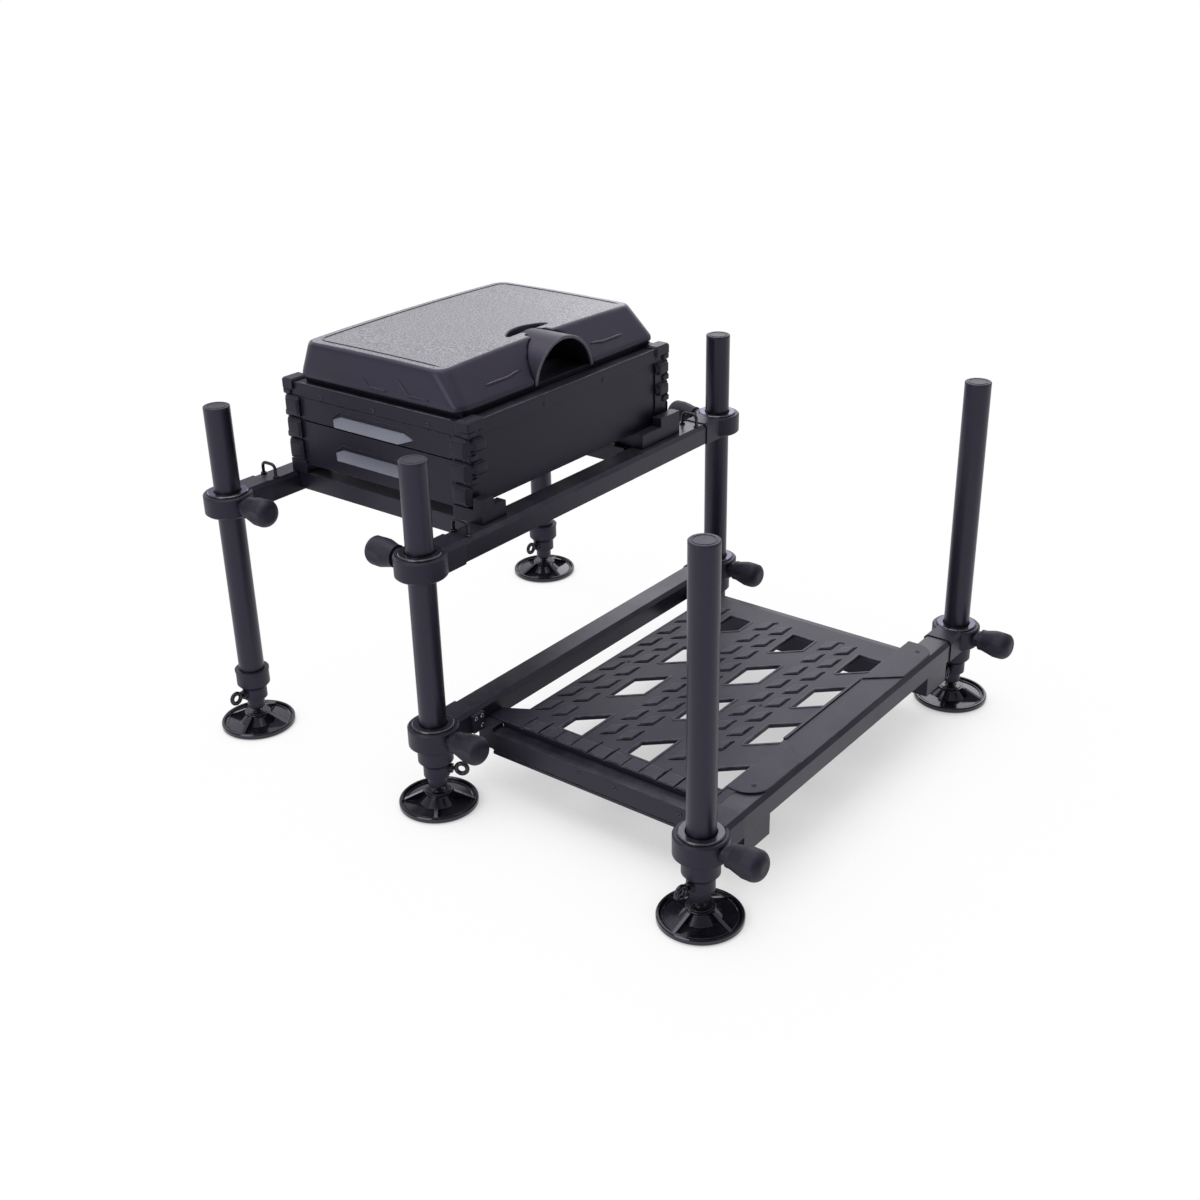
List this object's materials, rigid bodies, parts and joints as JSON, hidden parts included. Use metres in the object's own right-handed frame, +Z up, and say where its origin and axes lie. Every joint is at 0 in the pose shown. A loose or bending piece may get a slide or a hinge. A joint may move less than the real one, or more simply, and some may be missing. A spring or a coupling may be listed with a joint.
{
  "type": "fishing seat box",
  "caption": "Fishing seat box on adjustable legs, with a padded hinged lid, side drawers, a carry handle and a height-adjustable footplate.",
  "frame": {"origin": "on the ground, at the centre of the plan of the whole seat box", "axes": "+X along the box towards its closed end, -Y the side the angler faces, +Z up"},
  "size_m": [0.764, 0.923, 0.5555],
  "materials": {
    "coated_aluminium": "satin black coating on extrusions, tubes and plates",
    "coated_casting": "satin black coated casting",
    "liner_metal": "bare grey metal",
    "dark_wire": "dark plated steel",
    "black_plastic": "matt moulded plastic",
    "glossy_plastic": "glossy moulded plastic",
    "knob_rubber": "matt rubber",
    "box_plastic": "satin moulded plastic",
    "grip_plastic": "blue-grey moulded plastic",
    "pad_foam": "grained skin over firm foam"
  },
  "bodies": {
    "seat_frame": {"seat_rails": "coated_aluminium", "cross_bars": "coated_aluminium", "upper_collars": "coated_casting", "upper_liners": "liner_metal", "gear_loops": "dark_wire", "box_base": "box_plastic", "box_panels": "box_plastic", "corner_posts": "box_plastic", "rim_frame": "box_plastic"},
    "lid": {"lid_base": "box_plastic", "seat_pad": "pad_foam", "lid_handle": "box_plastic"},
    "upper_drawer": {"upper_drawer": "box_plastic", "upper_drawer_grip": "grip_plastic"},
    "lower_drawer": {"lower_drawer": "box_plastic", "lower_drawer_grip": "grip_plastic"},
    "footplate": {"platform_beams": "coated_aluminium", "lower_collars": "coated_casting", "lower_liners": "liner_metal", "side_rails": "coated_aluminium", "tread_plate": "coated_aluminium", "cover_plate": "coated_aluminium"},
    "rear_left_leg": {"rear_left_leg_tube": "coated_aluminium", "rear_left_leg_fittings": "black_plastic"},
    "rear_left_inner_leg": {"rear_left_inner_leg": "coated_aluminium"},
    "rear_left_foot": {"rear_left_foot": "glossy_plastic"},
    "rear_left_eye_bolt": {"rear_left_eye_bolt": "dark_wire"},
    "rear_left_knob": {"rear_left_knob": "knob_rubber"},
    "front_left_leg": {"front_left_leg_tube": "coated_aluminium", "front_left_leg_fittings": "black_plastic"},
    "front_left_inner_leg": {"front_left_inner_leg": "coated_aluminium"},
    "front_left_foot": {"front_left_foot": "glossy_plastic"},
    "front_left_eye_bolt": {"front_left_eye_bolt": "dark_wire"},
    "front_left_knob": {"front_left_knob": "knob_rubber"},
    "front_right_leg": {"front_right_leg_tube": "coated_aluminium", "front_right_leg_fittings": "black_plastic"},
    "front_right_inner_leg": {"front_right_inner_leg": "coated_aluminium"},
    "front_right_foot": {"front_right_foot": "glossy_plastic"},
    "front_right_eye_bolt": {"front_right_eye_bolt": "dark_wire"},
    "front_right_knob": {"front_right_knob": "knob_rubber"},
    "rear_right_leg": {"rear_right_leg_tube": "coated_aluminium", "rear_right_leg_fittings": "black_plastic"},
    "rear_right_inner_leg": {"rear_right_inner_leg": "coated_aluminium"},
    "rear_right_foot": {"rear_right_foot": "glossy_plastic"},
    "rear_right_eye_bolt": {"rear_right_eye_bolt": "dark_wire"},
    "rear_right_knob": {"rear_right_knob": "knob_rubber"},
    "platform_left_leg": {"platform_left_leg_tube": "coated_aluminium", "platform_left_leg_fittings": "black_plastic"},
    "platform_left_inner_leg": {"platform_left_inner_leg": "coated_aluminium"},
    "platform_left_foot": {"platform_left_foot": "glossy_plastic"},
    "platform_left_eye_bolt": {"platform_left_eye_bolt": "dark_wire"},
    "platform_left_knob": {"platform_left_knob": "knob_rubber"},
    "platform_right_leg": {"platform_right_leg_tube": "coated_aluminium", "platform_right_leg_fittings": "black_plastic"},
    "platform_right_inner_leg": {"platform_right_inner_leg": "coated_aluminium"},
    "platform_right_foot": {"platform_right_foot": "glossy_plastic"},
    "platform_right_eye_bolt": {"platform_right_eye_bolt": "dark_wire"},
    "platform_right_knob": {"platform_right_knob": "knob_rubber"},
    "front_left_lower_knob": {"front_left_lower_knob": "knob_rubber"},
    "front_right_lower_knob": {"front_right_lower_knob": "knob_rubber"}
  },
  "joints": [
    {"name": "lid_hinge", "type": "hinge", "parent": "seat_frame", "child": "lid", "pos_m": [0, 0.407, 0.498], "axis": [-1, 0, 0], "range_deg": [0, 100]},
    {"name": "upper_drawer_slide", "type": "slide", "parent": "seat_frame", "child": "upper_drawer", "axis": [-1, 0, 0], "range_m": [0, 0.3]},
    {"name": "lower_drawer_slide", "type": "slide", "parent": "seat_frame", "child": "lower_drawer", "axis": [-1, 0, 0], "range_m": [0, 0.3]},
    {"name": "footplate_height", "type": "slide", "parent": "seat_frame", "child": "footplate", "axis": [0, 0, 1], "range_m": [0, 0.2]},
    {"name": "rear_left_leg_slide", "type": "slide", "parent": "seat_frame", "child": "rear_left_leg", "axis": [0, 0, 1], "range_m": [-0.11, 0.2]},
    {"name": "rear_left_extension", "type": "slide", "parent": "rear_left_leg", "child": "rear_left_inner_leg", "axis": [0, 0, -1], "range_m": [0, 0.15]},
    {"name": "rear_left_foot_tilt", "type": "hinge", "parent": "rear_left_inner_leg", "child": "rear_left_foot", "pos_m": [-0.329, 0.4085, 0.0145], "axis": [1, 0, 0], "range_deg": [-15, 15]},
    {"name": "rear_left_eye_bolt_turn", "type": "hinge", "parent": "rear_left_leg", "child": "rear_left_eye_bolt", "pos_m": [-0.329, 0.4085, 0.055], "axis": [-1, 0, 0], "continuous": true},
    {"name": "rear_left_knob_turn", "type": "hinge", "parent": "seat_frame", "child": "rear_left_knob", "pos_m": [-0.329, 0.4085, 0.34875], "axis": [0, -1, 0], "continuous": true},
    {"name": "front_left_leg_slide", "type": "slide", "parent": "seat_frame", "child": "front_left_leg", "axis": [0, 0, 1], "range_m": [-0.11, 0]},
    {"name": "front_left_extension", "type": "slide", "parent": "front_left_leg", "child": "front_left_inner_leg", "axis": [0, 0, -1], "range_m": [0, 0.15]},
    {"name": "front_left_foot_tilt", "type": "hinge", "parent": "front_left_inner_leg", "child": "front_left_foot", "pos_m": [-0.329, 0.046, 0.0145], "axis": [1, 0, 0], "range_deg": [-15, 15]},
    {"name": "front_left_eye_bolt_turn", "type": "hinge", "parent": "front_left_leg", "child": "front_left_eye_bolt", "pos_m": [-0.329, 0.046, 0.055], "axis": [0.5, -0.866, 0], "continuous": true},
    {"name": "front_left_knob_turn", "type": "hinge", "parent": "seat_frame", "child": "front_left_knob", "pos_m": [-0.329, 0.046, 0.34875], "axis": [0, 1, 0], "continuous": true},
    {"name": "front_right_leg_slide", "type": "slide", "parent": "seat_frame", "child": "front_right_leg", "axis": [0, 0, 1], "range_m": [-0.11, 0]},
    {"name": "front_right_extension", "type": "slide", "parent": "front_right_leg", "child": "front_right_inner_leg", "axis": [0, 0, -1], "range_m": [0, 0.15]},
    {"name": "front_right_foot_tilt", "type": "hinge", "parent": "front_right_inner_leg", "child": "front_right_foot", "pos_m": [0.329, 0.046, 0.0145], "axis": [1, 0, 0], "range_deg": [-15, 15]},
    {"name": "front_right_eye_bolt_turn", "type": "hinge", "parent": "front_right_leg", "child": "front_right_eye_bolt", "pos_m": [0.329, 0.046, 0.055], "axis": [-0.9397, -0.342, 0], "continuous": true},
    {"name": "front_right_knob_turn", "type": "hinge", "parent": "seat_frame", "child": "front_right_knob", "pos_m": [0.329, 0.046, 0.34875], "axis": [0, 1, 0], "continuous": true},
    {"name": "rear_right_leg_slide", "type": "slide", "parent": "seat_frame", "child": "rear_right_leg", "axis": [0, 0, 1], "range_m": [-0.11, 0.2]},
    {"name": "rear_right_extension", "type": "slide", "parent": "rear_right_leg", "child": "rear_right_inner_leg", "axis": [0, 0, -1], "range_m": [0, 0.15]},
    {"name": "rear_right_foot_tilt", "type": "hinge", "parent": "rear_right_inner_leg", "child": "rear_right_foot", "pos_m": [0.329, 0.4085, 0.0145], "axis": [1, 0, 0], "range_deg": [-15, 15]},
    {"name": "rear_right_eye_bolt_turn", "type": "hinge", "parent": "rear_right_leg", "child": "rear_right_eye_bolt", "pos_m": [0.329, 0.4085, 0.055], "axis": [-1, 0, 0], "continuous": true},
    {"name": "rear_right_knob_turn", "type": "hinge", "parent": "seat_frame", "child": "rear_right_knob", "pos_m": [0.329, 0.4085, 0.34875], "axis": [0, -1, 0], "continuous": true},
    {"name": "platform_left_leg_slide", "type": "slide", "parent": "footplate", "child": "platform_left_leg", "axis": [0, 0, 1], "range_m": [-0.34, 0]},
    {"name": "platform_left_extension", "type": "slide", "parent": "platform_left_leg", "child": "platform_left_inner_leg", "axis": [0, 0, -1], "range_m": [0, 0.15]},
    {"name": "platform_left_foot_tilt", "type": "hinge", "parent": "platform_left_inner_leg", "child": "platform_left_foot", "pos_m": [-0.329, -0.375, 0.0145], "axis": [1, 0, 0], "range_deg": [-15, 15]},
    {"name": "platform_left_eye_bolt_turn", "type": "hinge", "parent": "platform_left_leg", "child": "platform_left_eye_bolt", "pos_m": [-0.329, -0.375, 0.055], "axis": [-0.9903, 0.1392, 0], "continuous": true},
    {"name": "platform_left_knob_turn", "type": "hinge", "parent": "footplate", "child": "platform_left_knob", "pos_m": [-0.329, -0.375, 0.1065], "axis": [0, -1, 0], "continuous": true},
    {"name": "platform_right_leg_slide", "type": "slide", "parent": "footplate", "child": "platform_right_leg", "axis": [0, 0, 1], "range_m": [-0.34, 0]},
    {"name": "platform_right_extension", "type": "slide", "parent": "platform_right_leg", "child": "platform_right_inner_leg", "axis": [0, 0, -1], "range_m": [0, 0.15]},
    {"name": "platform_right_foot_tilt", "type": "hinge", "parent": "platform_right_inner_leg", "child": "platform_right_foot", "pos_m": [0.329, -0.375, 0.0145], "axis": [1, 0, 0], "range_deg": [-15, 15]},
    {"name": "platform_right_eye_bolt_turn", "type": "hinge", "parent": "platform_right_leg", "child": "platform_right_eye_bolt", "pos_m": [0.329, -0.375, 0.055], "axis": [-0.9848, -0.1736, 0], "continuous": true},
    {"name": "platform_right_knob_turn", "type": "hinge", "parent": "footplate", "child": "platform_right_knob", "pos_m": [0.329, -0.375, 0.1065], "axis": [0, -1, 0], "continuous": true},
    {"name": "front_left_lower_knob_turn", "type": "hinge", "parent": "footplate", "child": "front_left_lower_knob", "pos_m": [-0.329, 0.046, 0.1065], "axis": [0, -1, 0], "continuous": true},
    {"name": "front_right_lower_knob_turn", "type": "hinge", "parent": "footplate", "child": "front_right_lower_knob", "pos_m": [0.329, 0.046, 0.1065], "axis": [0, -1, 0], "continuous": true}
  ]
}
